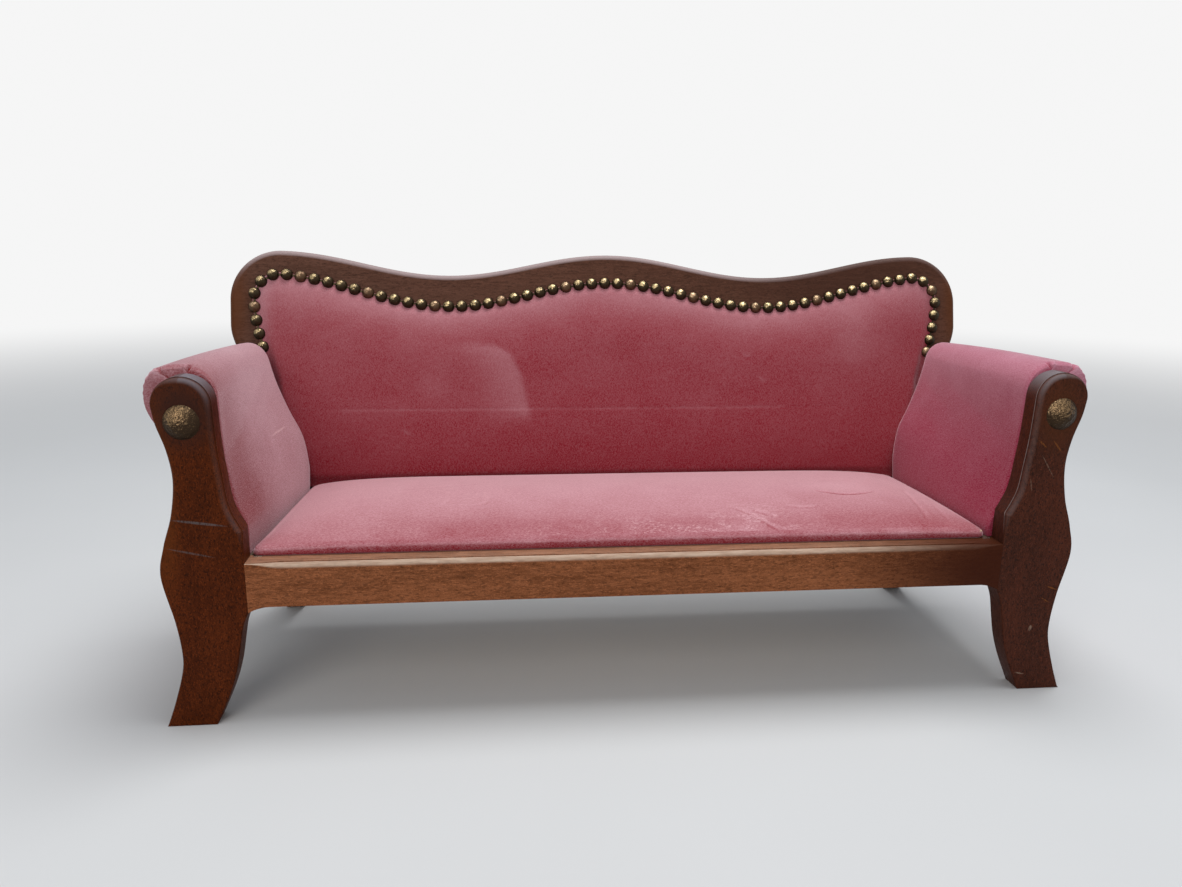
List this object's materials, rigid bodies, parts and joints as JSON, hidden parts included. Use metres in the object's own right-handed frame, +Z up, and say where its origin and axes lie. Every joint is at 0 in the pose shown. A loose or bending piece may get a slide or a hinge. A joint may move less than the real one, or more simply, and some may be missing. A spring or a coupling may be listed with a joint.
{
  "type": "doll's sofa",
  "caption": "Doll-size upholstered sofa with sabre legs, serpentine back edged with domed nails, scrolled arms and a padded velvet seat on a stained wooden frame",
  "frame": {"origin": "On the floor, midway across the sofa and midway from its front nails to the back board's rear top edge", "axes": "+X runs across the sofa to the right as seen from the front, +Y from the front to the back, +Z up"},
  "size_m": [0.712, 0.2592, 0.3434],
  "materials": {
    "stained_wood": "satin stain",
    "frame_wood": "matt stain",
    "raw_wood": "bare",
    "plywood": "bare",
    "wadding": "cotton wadding",
    "velvet": "dusty rose velvet",
    "strip_brass": "antiqued, hammered",
    "nail_brass": "browned",
    "boss_brass": "antiqued, hammered",
    "steel": "plain"
  },
  "bodies": {
    "root": {"front_rail": "stained_wood", "left_front_post": "stained_wood", "right_front_post": "stained_wood", "back_board": "stained_wood", "left_side_board": "frame_wood", "right_side_board": "frame_wood", "left_rear_leg": "stained_wood", "right_rear_leg": "stained_wood", "back_rail": "frame_wood", "left_seat_cleat": "raw_wood", "right_seat_cleat": "raw_wood", "left_corner_block": "raw_wood", "right_corner_block": "raw_wood", "seat_panel": "plywood", "seat_padding": "wadding", "seat_cover": "velvet", "back_padding": "wadding", "back_cover": "velvet", "left_arm_padding": "wadding", "right_arm_padding": "wadding", "left_arm_cover": "velvet", "right_arm_cover": "velvet", "left_arm_facing": "velvet", "right_arm_facing": "velvet", "nail_strip": "strip_brass", "strip_nails": "nail_brass", "left_boss_nail": "boss_brass", "right_boss_nail": "boss_brass", "rail_dowels": "raw_wood", "arm_dowels": "raw_wood", "back_board_screws": "steel", "rear_leg_screws": "steel", "seat_screws": "steel", "seat_staples": "steel", "arm_staples": "steel"}
  },
  "joints": []
}
